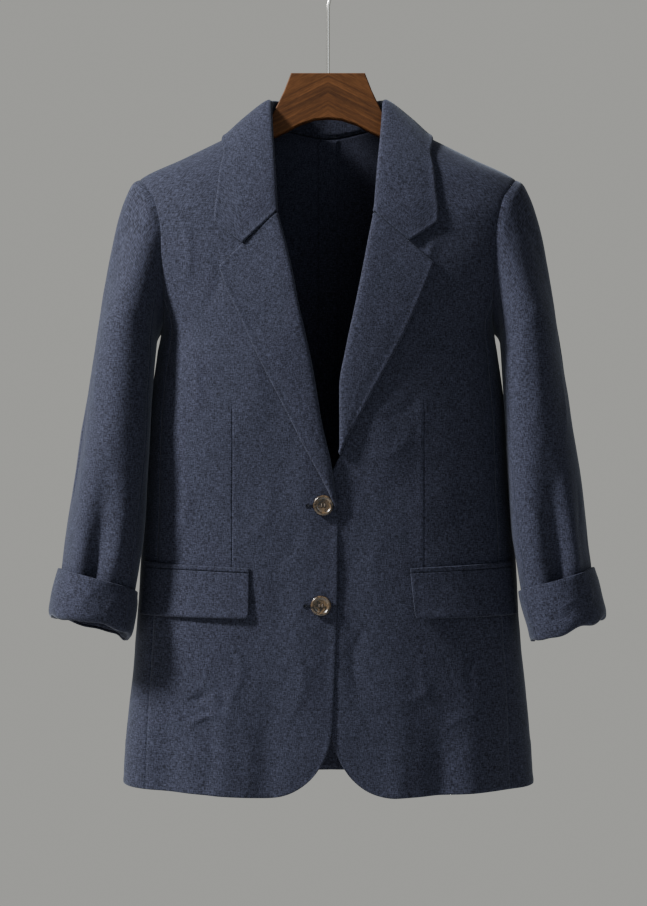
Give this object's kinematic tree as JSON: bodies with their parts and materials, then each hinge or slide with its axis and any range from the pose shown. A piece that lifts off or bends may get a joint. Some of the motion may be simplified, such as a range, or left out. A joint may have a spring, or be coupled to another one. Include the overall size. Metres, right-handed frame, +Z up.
{
  "type": "blazer on a hanger",
  "caption": "Relaxed single-breasted linen blazer with notch lapels, flap pockets and turned-up sleeves, hanging open-collared on a flat wooden hanger with a wire hook.",
  "frame": {"origin": "inside of the hook's crown, the point where the hook sits on a rail", "axes": "+Z up, -Y out of the blazer's front, +X towards the wearer's left side"},
  "size_m": [0.5874, 0.1899, 0.9047],
  "materials": {
    "linen": "matte",
    "horn": "satin",
    "walnut": "satin",
    "steel": "polished"
  },
  "bodies": {
    "root": {"back_right": "linen", "side_right": "linen", "front_right": "linen", "lapel_right": "linen", "top_sleeve_right": "linen", "under_sleeve_right": "linen", "cuff_right": "linen", "pocket_welt_right": "linen", "pocket_flap_right": "linen", "back_left": "linen", "side_left": "linen", "front_left": "linen", "lapel_left": "linen", "top_sleeve_left": "linen", "under_sleeve_left": "linen", "cuff_left": "linen", "pocket_welt_left": "linen", "pocket_flap_left": "linen", "collar": "linen", "button_top": "horn", "button_bottom": "horn", "hanger_body": "walnut", "hook": "steel"}
  },
  "joints": []
}
